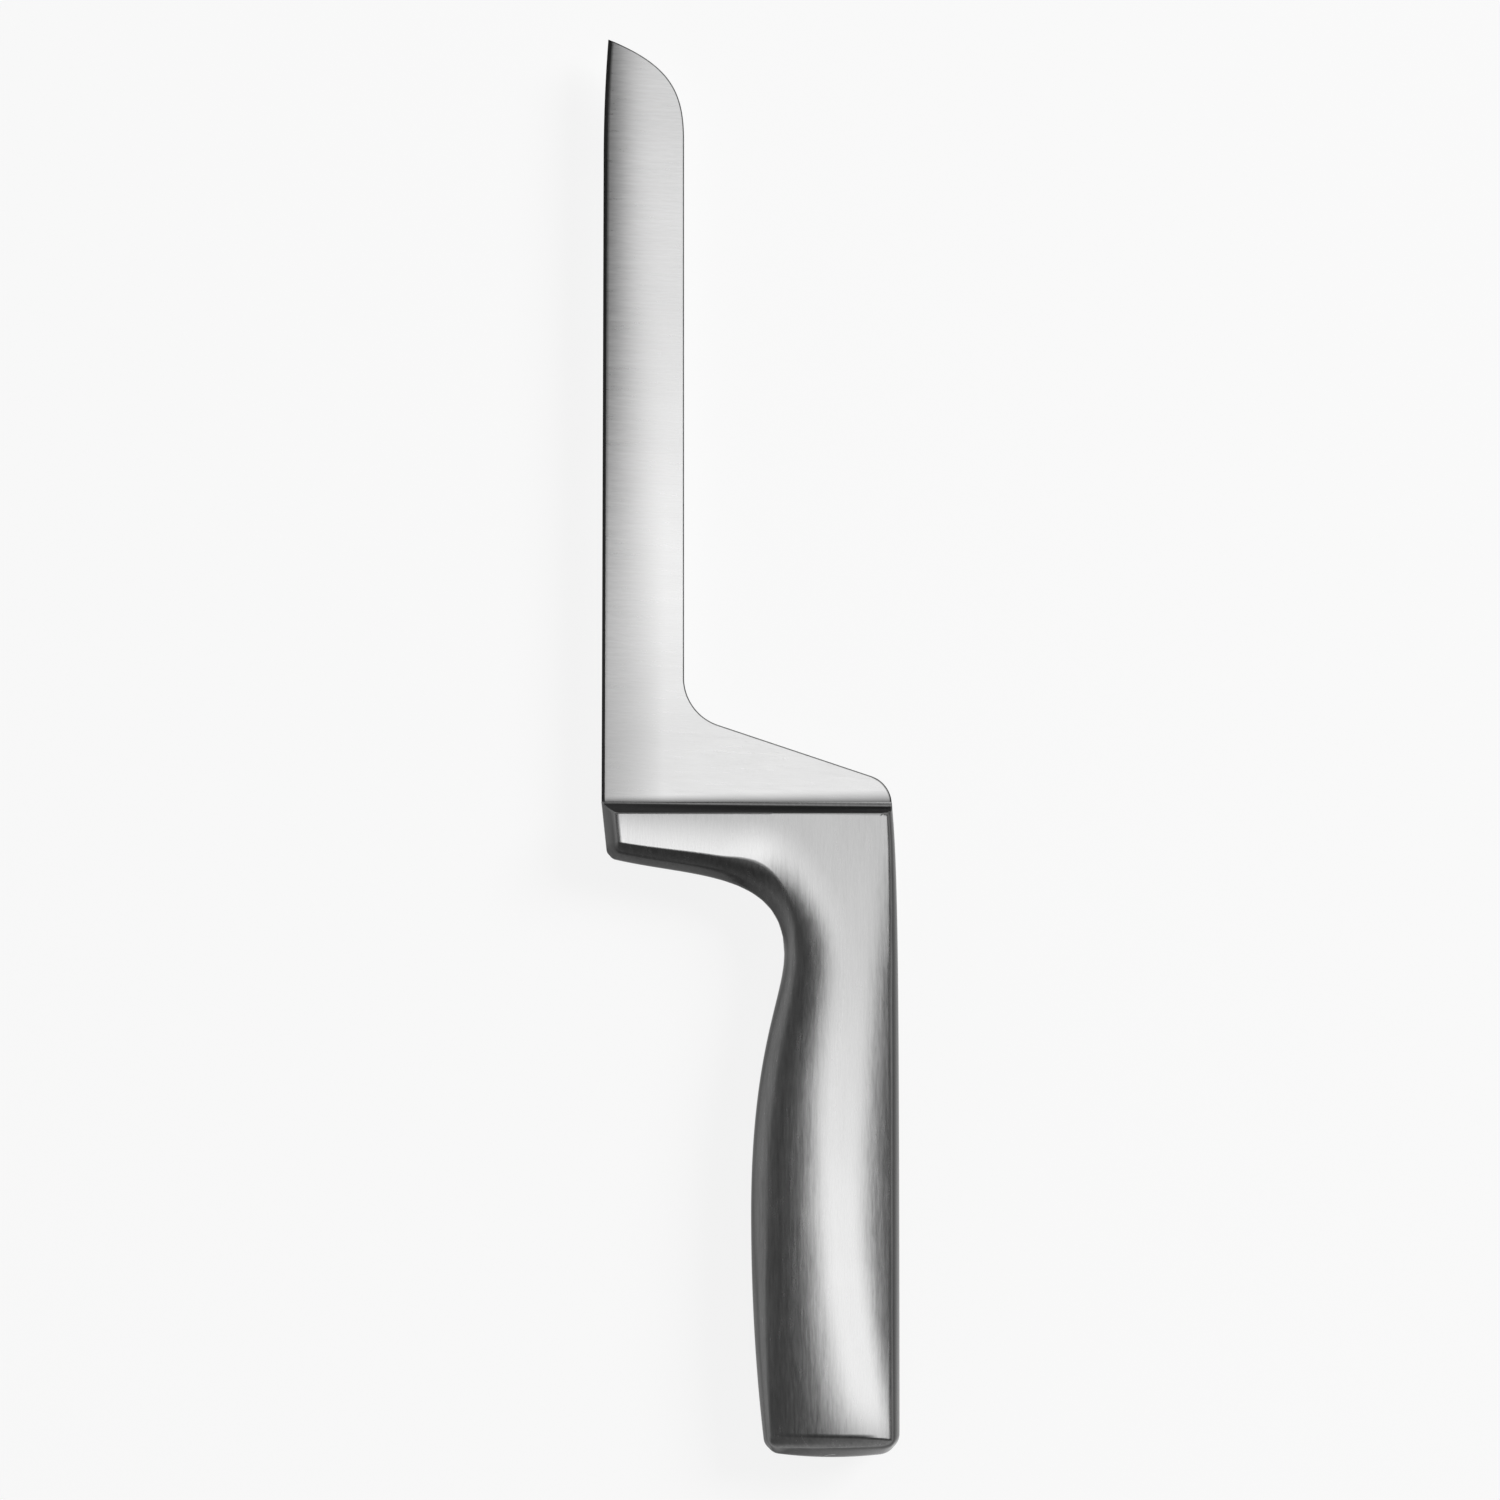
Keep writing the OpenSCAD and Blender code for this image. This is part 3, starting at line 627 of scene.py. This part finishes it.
def blade_outline():
    """Right side of the blade from the tip down to the shoulder, as points in millimetres."""
    slope = math.atan2(NECK_TOP - NECK_LOW, BACK_TOP_X - BLADE_W)
    corner_tan = math.tan((math.pi / 2 - slope) / 2)
    tip = np.array([TIP_BACK, BLADE_L])
    spine_end = np.array([BLADE_W, BLADE_L - TIP_CURVE_L])
    spine_handle = spine_end + [0, TIP_CURVE_L * TIP_SHARES[0]]
    tip_handle = np.array([
        mix(BLADE_W, TIP_BACK, TIP_SHARES[1]), mix(spine_end[1], BLADE_L, TIP_SHARES[2])
    ])
    curve = bezier([tip, tip_handle, spine_handle, spine_end], np.linspace(0, 1, TIP_STEPS) ** TIP_CROWDING)
    neck_centre = np.array([BLADE_W + NECK_R, NECK_TOP + NECK_R * corner_tan])
    heel_centre = np.array([BACK_TOP_X - HEEL_R, NECK_LOW - HEEL_R * corner_tan])
    spine = [[BLADE_W, y] for y in np.linspace(spine_end[1], neck_centre[1], SPINE_STEPS)[1:-1]]
    turn = math.pi / 2 - slope
    neck = [neck_centre + NECK_R * np.array([math.cos(a), math.sin(a)])
            for a in np.linspace(math.pi, math.pi + turn, NECK_STEPS)]
    low = math.asin(max(0, -heel_centre[1]) / HEEL_R)
    heel = [heel_centre + HEEL_R * np.array([math.cos(a), math.sin(a)])
            for a in np.linspace(turn, low, HEEL_STEPS)]
    slope_run = [mix(neck[-1], heel[0], s) for s in np.linspace(0, 1, SLOPE_STEPS)[1:-1]]
    foot = [[heel[-1][0], 0]] if heel_centre[1] > 0 else []
    return np.array(list(curve) + spine + neck + slope_run + heel + foot)


def edge_x(y):
    """Place of the cutting edge: a slight lean, and a curve near the tip."""
    lean = math.atan(EDGE_LEAN / BLADE_L)
    straight = BLADE_L - EDGE_CURVE_L
    tip_in = TIP_BACK * math.cos(lean) - BLADE_L * math.sin(lean)
    tip_up = TIP_BACK * math.sin(lean) + BLADE_L * math.cos(lean) - straight
    radius = (tip_up**2 + tip_in**2) / (2 * tip_in)
    up = np.maximum(np.asarray(y) - straight, 0)
    return np.asarray(y) * math.tan(lean) + radius - np.sqrt(radius**2 - up**2)


def blade_half_t(from_edge, from_line, y):
    """Half the blade's thickness, at distances from the edge and from the line of its grind."""
    s = np.clip((y - GRIND_HEEL_Y) / (GRIND_TIP_Y - GRIND_HEEL_Y), 0, 1)
    s = s**2 * (3 - 2 * s)
    grind_w, slope, power = (mix(heel, tip, s) for heel, tip in zip(GRIND_HEEL, GRIND_TIP))
    into = np.clip(1 - from_line / grind_w, 0, 1)
    ground = BLADE_T / 2 - slope * grind_w / (power + 1) * into ** (power + 1)
    at_bevel = BLADE_T / 2 - slope * grind_w / (power + 1) * (1 - BEVEL_W / grind_w) ** (power + 1)
    return np.where(from_edge < BEVEL_W, from_edge / BEVEL_W * at_bevel, ground)


def blade_mesh():
    """Points and faces of the blade above the shoulder: both faces, with a rounded spine."""
    outline = blade_outline()
    y = outline[:, 1]
    left = edge_x(y)
    lean_x = y * EDGE_LEAN / BLADE_L
    width = outline[:, 0] - left
    bevel = BEVEL_W * np.array(BEVEL_PLACES)
    grind = mix(BEVEL_W, GRIND_TIP[0], np.linspace(0, 1, GRIND_STEPS + 1)[1:])
    spine_round = np.minimum(SPINE_ROUND, width / 2)
    inner_w = width - spine_round
    columns = [np.minimum(c, inner_w) for c in np.concatenate([bevel, grind])]
    for s in np.arange(1, FLAT_STEPS + 1) / FLAT_STEPS:
        columns.append(np.minimum(mix(GRIND_TIP[0], np.maximum(inner_w, GRIND_TIP[0]), s), inner_w))
    d = np.stack(columns, 1)
    x = left[:, None] + d
    z = blade_half_t(d, np.maximum(x - lean_x[:, None], d), y[:, None])
    edge_z = z[:, -1]
    for a in np.radians(SPINE_TURN):
        round_x, round_z = left + inner_w + spine_round * np.sin(a), edge_z - spine_round * (1 - np.cos(a))
        x = np.concatenate([x, round_x[:, None]], 1)
        z = np.concatenate([z, np.maximum(round_z, 0)[:, None]], 1)
    grid = np.stack([x, np.repeat(y[:, None], x.shape[1], 1), z], -1)
    points = np.concatenate([grid.reshape(-1, 3), grid.reshape(-1, 3) * [1, 1, -1]])
    size = grid.shape[0] * grid.shape[1]
    faces = grid_faces(grid.shape, 0, True) + grid_faces(grid.shape, size, False)
    loop = border(grid.shape)
    faces += strip_faces(loop, [k + size for k in loop])
    return points, faces


def blade_shade(points):
    """Painted shade at each point of the blade: its honed edge, the neck, and the corner with the handle."""
    x, y = points[:, 0], points[:, 1]
    share = (x - edge_x(y)) / BEVEL_W
    beside = np.clip(y / HONED_RISE_L + HONED_HEEL_SHADE, HONED_LEAST_SHADE, 1)
    honed_edge_shade = np.where(share < HONED_SHARES[0], 1, np.where(share < HONED_SHARES[1], beside, 0)) * (y >= 0)
    foot = np.clip(1 - y / mix(*FOOT_W, np.clip(x / REACH_W, 0, 1)), 0, 1) ** FOOT_POWER
    neck = np.clip((NECK_SHADE_Y - y) / NECK_FADE_L, 0, 1)
    return np.maximum(honed_edge_shade, NECK_SHADE * neck + FOOT_SHADE * foot)


def rim_gap(points):
    """Distance of each point from the spine's and the neck's outline, up to RIM_REACH."""
    outline = blade_outline()
    start, step = outline[:-1], np.diff(outline, axis=0)
    gap = points[:, None, :2] - start
    along = np.clip((gap * step).sum(-1) / (step**2).sum(-1), 0, 1)
    away = np.linalg.norm(gap - along[..., None] * step, axis=-1).min(1)
    return np.minimum(away, RIM_REACH)


def prism(loops, z, first=0):
    """Points and faces of a flat solid between z and -z. Loops after the first are holes."""
    flat = np.concatenate(loops)
    n = len(flat)
    top = [range(n)]
    if len(loops) > 1:
        top = tessellate_polygon([[Vector((x, y, 0)) for x, y in loop] for loop in loops])
    points = np.concatenate([np.column_stack([flat, 0 * flat[:, 0] + side]) for side in (z, -z)])
    faces = [tuple(face) for face in top] + [tuple(k + n for k in face[::-1]) for face in top]
    start = 0
    for loop in loops:
        ring = list(range(start, start + len(loop)))
        faces += strip_faces(ring, [k + n for k in ring])
        start += len(loop)
    return points, [tuple(k + first for k in face) for face in faces]


def tang_mesh():
    """The root between the shells, the tang below it with two pin holes, and the root's two strips."""
    half = TANG_W / 2
    end_y = half - TANG_L
    root_back_x = BACK_TOP_X - ROOT_BACK_GAP
    turn = np.linspace(0, -math.pi, TANG_END_STEPS)
    outline = [[ROOT_X, -HIDDEN_GAP], [ROOT_X, -ROOT_D], [TANG_X - half, -ROOT_D]]
    outline += [[TANG_X - half * math.cos(a), end_y + half * math.sin(a)] for a in turn]
    outline += [[TANG_X + half, -ROOT_D], [root_back_x, -ROOT_D], [root_back_x, -HIDDEN_GAP]]
    loops = [np.array(outline)]
    for y in PIN_Y:
        a = np.linspace(0, 2 * math.pi, HOLE_STEPS + 1)[:-1]
        loops.append(np.stack([TANG_X + PIN_HOLE_R * np.cos(a), PIN_HOLE_R * np.sin(a) - y], 1))
    points, faces = prism(loops, TANG_T / 2)
    low = -ROOT_D - STRIP_BELOW
    front_x, back_in_x = ROOT_X + STRIP_LAP, root_back_x - STRIP_LAP
    strips = [
        [
            [front_x, -HIDDEN_GAP], [HIDDEN_GAP, -HIDDEN_GAP],
            [ARM_LEAN * -low / ARM_D + HIDDEN_GAP, low], [front_x, low]
        ],
        [
            [back_in_x, low], [back_x(low) - HIDDEN_GAP, low],
            [BACK_TOP_X - HIDDEN_GAP, -HIDDEN_GAP], [back_in_x, -HIDDEN_GAP]
        ],
    ]
    for strip in strips:
        more_points, more_faces = prism([np.array(strip)], SEAM_Z - SEAM_SLACK, len(points))
        points, faces = np.concatenate([points, more_points]), faces + more_faces
    return points, faces


def plug_mesh():
    """The plug in the butt, whose end follows the butt's surface."""
    middle = REACH_W - BUTT_W / 2
    skin = handle_skin(0, 1)[::-1][:CAP_STEPS]
    column = np.argmin(np.abs(skin[0, :, 0] - middle))
    heights, depths = skin[:, column, 2], skin[:, column, 1]
    points, faces = [], []
    angles = np.linspace(0, 2 * math.pi, PLUG_STEPS + 1)[:-1]
    for r in list(PLUG_RINGS * PLUG_R) + [PLUG_R]:
        x, z = r * np.cos(angles), r * np.sin(angles)
        y = np.interp(np.abs(z), heights, depths) + BUTT_BULGE * (2 * x / BUTT_W) ** 2 - PLUG_PROUD
        points.append(np.stack([middle + x, y, z], 1))
    points[-1][:, 1] = WALL - HANDLE_L
    rings = [list(range(PLUG_STEPS * k, PLUG_STEPS * (k + 1))) for k in range(len(points))]
    for ring, after in zip(rings, rings[1:]):
        faces += strip_faces(ring, after)
    faces += [tuple(rings[0]), tuple(rings[-1])[::-1]]
    return np.concatenate(points), faces


def merged(points, faces, distance=0.002):
    """The same mesh with points that coincide joined and faces without area left out."""
    mesh = bpy.data.meshes.new("merge")
    mesh.from_pydata(np.asarray(points).tolist(), [], faces)
    work = bmesh.new()
    work.from_mesh(mesh)
    bmesh.ops.remove_doubles(work, verts=work.verts, dist=distance)
    bmesh.ops.dissolve_degenerate(work, dist=distance / 4, edges=work.edges)
    bmesh.ops.recalc_face_normals(work, faces=work.faces)
    work.verts.index_update()
    out_points = np.array([v.co[:] for v in work.verts])
    out_faces = [tuple(v.index for v in face.verts) for face in work.faces]
    work.free()
    bpy.data.meshes.remove(mesh)
    return out_points, out_faces


def node(tree, kind, inputs=None, **settings):
    """A new node with its settings, and with values or links on its inputs."""
    made = tree.nodes.new(kind)
    for key, value in settings.items():
        setattr(made, key, value)
    for key, value in (inputs or {}).items():
        if hasattr(value, "is_output"):
            tree.links.new(value, made.inputs[key])
        else:
            made.inputs[key].default_value = value
    return made


def maths(tree, operation, a, b, **settings):
    return node(tree, "ShaderNodeMath", {0: a, 1: b}, operation=operation, **settings).outputs[0]


def ranged(tree, value, start, end, low, high):
    """A value brought from the range between start and end to the one between low and high."""
    inputs = {"Value": value, "From Min": start, "From Max": end, "To Min": low, "To Max": high}
    return node(tree, "ShaderNodeMapRange", inputs).outputs[0]


def new_material(name):
    material = bpy.data.materials.new(name)
    material.use_nodes = True
    return material, material.node_tree, material.node_tree.nodes["Principled BSDF"]


def wall_shade(tree):
    """The painted shade that handle_shade gives on an upright wall, for the weld, which keeps its own mesh.
    """
    end = END_SHADE * UPRIGHT_SHARE
    normal = node(tree, "ShaderNodeTexCoord").outputs["Normal"]
    facing = node(tree, "ShaderNodeVectorMath", {0: normal, 1: (end, -end, 0)}, operation="DOT_PRODUCT")
    ends = maths(tree, "MAXIMUM", facing.outputs["Value"], 0.0)
    return maths(tree, "ADD", ends, (FLANK_SHADE + WALL_SHADE) * UPRIGHT_SHARE)


def brushed_steel(name, tone, grain, roughness, anisotropic, streak=0.15, band=1, rim=1, turn=0, weld=False):
    """Steel with fine brush marks.

    grain is the axis that they run along, 0 for X and 1 for Y, turned by turn degrees, and streak is
    their contrast. band and rim are what is left of the tone where the painted shade and the painted
    dark line along the spine are darkest.
    """
    material, tree, shader = new_material(name)
    place = node(tree, "ShaderNodeTexCoord").outputs["Object"]
    place = node(tree, "ShaderNodeVectorRotate", {
        "Vector": place, "Angle": math.radians(turn)
    }, rotation_type="Z_AXIS").outputs[0]

    def marks(across, along, detail):
        scale = [across, across, across]
        scale[grain] = along
        mapping = node(tree, "ShaderNodeMapping", {"Vector": place, "Scale": scale})
        noise = node(tree, "ShaderNodeTexNoise", {
            "Vector": mapping.outputs["Vector"], "Scale": 1.0, "Detail": detail, "Roughness": 0.6
        })
        return noise.outputs["Fac"]

    broad = marks(*BROAD_MARKS)
    both = maths(tree, "ADD", marks(*FINE_MARKS), broad)
    level = ranged(tree, both, *MARKS_RANGE, tone * (1 - streak), tone * (1 + streak))
    cloud = ranged(tree, marks(*CLOUDS), *CLOUD_RANGE, 1 - CLOUD_CONTRAST, 1 + CLOUD_CONTRAST)
    level = maths(tree, "MULTIPLY", level, cloud)
    # Painted shade darkens the tone towards band where it is strongest.
    if band < 1:
        painted_shade = node(tree, "ShaderNodeAttribute", attribute_name="painted_shade").outputs["Fac"]
        painted_shade = wall_shade(tree) if weld else painted_shade
        level = maths(tree, "MULTIPLY", level, ranged(tree, painted_shade, 0.0, 1.0, 1.0, band))
    # A painted dark line along the spine and the neck darkens the tone towards rim at the outline.
    if rim < 1:
        gap = node(tree, "ShaderNodeAttribute", attribute_name="rim").outputs["Fac"]
        line = ranged(tree, gap, RIM_W * RIM_INNER_SHARE, RIM_W, rim, 1.0)
        level = maths(tree, "MULTIPLY", level, line)
    colour = node(tree, "ShaderNodeCombineColor", {"Red": level, "Green": level, "Blue": level})
    low, high = roughness * (1 - ROUGHNESS_CONTRAST), roughness * (1 + ROUGHNESS_CONTRAST)
    bump = node(tree, "ShaderNodeBump", {
        "Height": broad, "Strength": MARK_STRENGTH, "Distance": MARK_DEPTH
    })
    tangent = node(tree, "ShaderNodeCombineXYZ", {1 - grain: 1.0})
    tree.links.new(colour.outputs[0], shader.inputs["Base Color"])
    tree.links.new(ranged(tree, both, *MARKS_RANGE, low, high), shader.inputs["Roughness"])
    tree.links.new(bump.outputs[0], shader.inputs["Normal"])
    tree.links.new(tangent.outputs[0], shader.inputs["Tangent"])
    shader.inputs["Metallic"].default_value = 1
    shader.inputs["Anisotropic"].default_value = anisotropic
    return material


def cast_resin(name):
    """Grey filler with fine grains in it."""
    material, tree, shader = new_material(name)
    place = node(tree, "ShaderNodeTexCoord").outputs["Object"]
    grains = node(tree, "ShaderNodeTexNoise", {
        "Vector": place, "Scale": RESIN_GRAINS, "Detail": RESIN_DETAIL, "Roughness": 0.6
    }).outputs["Fac"]
    colour = node(tree, "ShaderNodeValToRGB", {"Fac": grains})
    for element, tone in zip(colour.color_ramp.elements, RESIN_TONES):
        element.color = (*[tone * part for part in RESIN_TINT], 1)
    bump = node(tree, "ShaderNodeBump", {
        "Height": grains, "Strength": RESIN_STRENGTH, "Distance": RESIN_DEPTH
    })
    tree.links.new(colour.outputs[0], shader.inputs["Base Color"])
    tree.links.new(ranged(tree, grains, 0.0, 1.0, *RESIN_ROUGHNESS), shader.inputs["Roughness"])
    tree.links.new(bump.outputs[0], shader.inputs["Normal"])
    return material


def pale_floor(name):
    """A pale floor that shows mostly white to the camera and in the steel, and keeps its shadow."""
    material, tree, shader = new_material(name)
    shader.inputs["Base Color"].default_value = (FLOOR_TONE, FLOOR_TONE, FLOOR_TONE, 1)
    shader.inputs["Roughness"].default_value = FLOOR_ROUGHNESS
    path = node(tree, "ShaderNodeLightPath").outputs
    seen = maths(tree, "ADD", path["Is Camera Ray"], path["Is Glossy Ray"])
    seen = maths(tree, "ADD", seen, path["Is Transmission Ray"], use_clamp=True)
    white = node(tree, "ShaderNodeEmission", {"Strength": 1.0})
    both = node(tree, "ShaderNodeMixShader", {
        0: maths(tree, "MULTIPLY", seen, FLOOR_GLOW), 1: shader.outputs[0], 2: white.outputs[0]
    })
    tree.links.new(both.outputs[0], tree.nodes["Material Output"].inputs["Surface"])
    return material


def add_object(name, data):
    made = bpy.data.objects.new(name, data)
    bpy.context.scene.collection.objects.link(made)
    return made


def add_handle(steel):
    for side, node_name in ((1, "front_shell"), (-1, "back_shell")):
        points, faces = shell_mesh(side)
        piece = make_piece(node_name + "_steel", points, faces, steel, SHELL_SHARP_ANGLE)
        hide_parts(node_name)


def add_blade(steel):
    points, faces = merged(*blade_mesh())
    tang_points, tang_faces = merged(*tang_mesh())
    # The root's strips get painted shade like the handle's walls beside them, and no painted spine line.
    strip = np.abs(tang_points[:, 2]) < SEAM_Z
    layers = {
        "painted_shade": np.concatenate([blade_shade(points), strip * STRIP_SHADE]),
        "rim": np.concatenate([rim_gap(points), 0 * strip + RIM_REACH]),
    }
    faces = faces + [tuple(k + len(points) for k in face) for face in tang_faces]
    points = np.concatenate([points, tang_points])
    blade = make_piece("blade_steel_plate", points, faces, steel, BLADE_SHARP_ANGLE, layers)
    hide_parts("blade")


def add_plug(steel):
    plug = make_piece("fill_plug_flush", *merged(*plug_mesh()), steel)
    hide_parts("fill_plug")


def add_camera():
    data = bpy.data.cameras.new("camera")
    data.lens = LENS
    data.sensor_width = SENSOR_W
    data.clip_end = 20
    camera = add_object("camera", data)
    camera.location = (CAMERA_X * MM, CAMERA_Y * MM, (FRAME_W * LENS / SENSOR_W + GRIP_T / 2) * MM)
    bpy.context.scene.camera = camera


def add_floor():
    mesh = bpy.data.meshes.new("floor")
    corners = [(x * FLOOR_REACH, y * FLOOR_REACH, 0) for x, y in ((-1, -1), (1, -1), (1, 1), (-1, 1))]
    mesh.from_pydata(corners, [], [(0, 1, 2, 3)])
    mesh.materials.append(pale_floor("floor_paint"))
    floor = add_object("floor", mesh)


def add_key():
    """The softbox, brightest in its middle and fading outwards."""
    data = bpy.data.lights.new("key", "AREA")
    data.shape = "RECTANGLE"
    data.size, data.size_y = KEY_SIZE_X, KEY_SIZE_Y
    data.energy = math.pi * KEY_SIZE_X * KEY_SIZE_Y
    data.use_nodes = True
    tree = data.node_tree
    spot = node(tree, "ShaderNodeNewGeometry").outputs["Parametric"]
    scale = (KEY_SIZE_X / KEY_H, KEY_SIZE_Y / KEY_H / KEY_STRETCH, 0)
    centred = node(tree, "ShaderNodeVectorMath", {0: spot, 1: (0.5, 0.5, 0)}, operation="SUBTRACT")
    scaled = node(tree, "ShaderNodeVectorMath", {0: centred.outputs[0], 1: scale}, operation="MULTIPLY")
    away = node(tree, "ShaderNodeVectorMath", {0: scaled.outputs[0]}, operation="LENGTH")
    curve = node(tree, "ShaderNodeFloatCurve", {"Value": away.outputs["Value"]})
    points = curve.mapping.curves[0].points
    places = [(math.tan(math.radians(a)), level / KEY_TOP) for a, level in KEY_LEVELS]
    points[0].location, points[1].location = places[0], places[-1]
    for place in places[1:-1]:
        points.new(*place)
    curve.mapping.update()
    strength = maths(tree, "MULTIPLY", curve.outputs[0], KEY_TOP)
    tree.links.new(strength, tree.nodes["Emission"].inputs["Strength"])
    add_object("key", data).location = (0, KEY_Y, KEY_H)


def add_fill():
    data = bpy.data.lights.new("fill", "AREA")
    data.shape = "SQUARE"
    data.size = FILL_SIZE
    data.energy = FILL_RADIANCE * math.pi * FILL_SIZE**2
    azimuth, polar = math.radians(FILL_AZIMUTH), math.radians(FILL_POLAR)
    away = (math.cos(azimuth) * math.sin(polar), math.sin(azimuth) * math.sin(polar), math.cos(polar))
    fill = add_object("fill", data)
    fill.location = [part * FILL_AWAY for part in away]
    fill.rotation_euler = (polar, 0, azimuth + math.pi / 2)
    fill.visible_glossy = False


def add_world():
    """Dim round the softbox, pale at the horizon, and paler on the fill lamp's side and past the tip."""
    world = bpy.data.worlds.new("world")
    world.use_nodes = True
    bpy.context.scene.world = world
    tree = world.node_tree
    direction = node(tree, "ShaderNodeTexCoord").outputs["Generated"]
    split = node(tree, "ShaderNodeSeparateXYZ", {0: direction})
    ramp = node(tree, "ShaderNodeValToRGB", {"Fac": split.outputs["Z"]})
    elements = ramp.color_ramp.elements
    places = [(math.cos(math.radians(angle)), level) for angle, level in WORLD_LEVELS]
    elements[0].position, elements[1].position = places[0][0], places[-1][0]
    for place, _ in places[1:-1]:
        elements.new(place)
    for element, (_, level) in zip(elements, places):
        element.color = (level, level, level, 1)
    level = ramp.outputs[0]
    for axis, sign, most in WORLD_SIDES:
        start, end = WORLD_SIDE_START * sign, WORLD_SIDE_END * sign
        level = maths(tree, "ADD", level, ranged(tree, split.outputs[axis], start, end, 0.0, most))
    tree.links.new(level, tree.nodes["Background"].inputs["Color"])


# band and rim are how far painted shade and the blade's painted spine line darken each steel.
handle_steel = brushed_steel("handle_steel", 0.68, 1, 0.25, 0.7, band=0.1)
weld_steel = brushed_steel("weld_steel", 0.68, 1, 0.25, 0.7, band=0.1, weld=True)
blade_steel = brushed_steel("blade_steel", 0.84, 0, 0.3, 0.7, streak=0.1, band=0.05, rim=0.2, turn=3)
pin_steel = brushed_steel("pin_steel", 0.6, 1, 0.35, 0.3)
core_resin = cast_resin("core_resin")

add_handle(handle_steel)
add_blade(blade_steel)
add_plug(handle_steel)
for name, material in (
    ("seam_weld", weld_steel), ("upper_tang_pin", pin_steel), ("lower_tang_pin", pin_steel),
    ("filler_core", core_resin),
):
    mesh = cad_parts[name].data
    mesh.materials.clear()
    mesh.materials.append(material)

add_camera()
add_floor()
add_key()
add_fill()
add_world()
bpy.context.scene.view_settings.view_transform = "Standard"
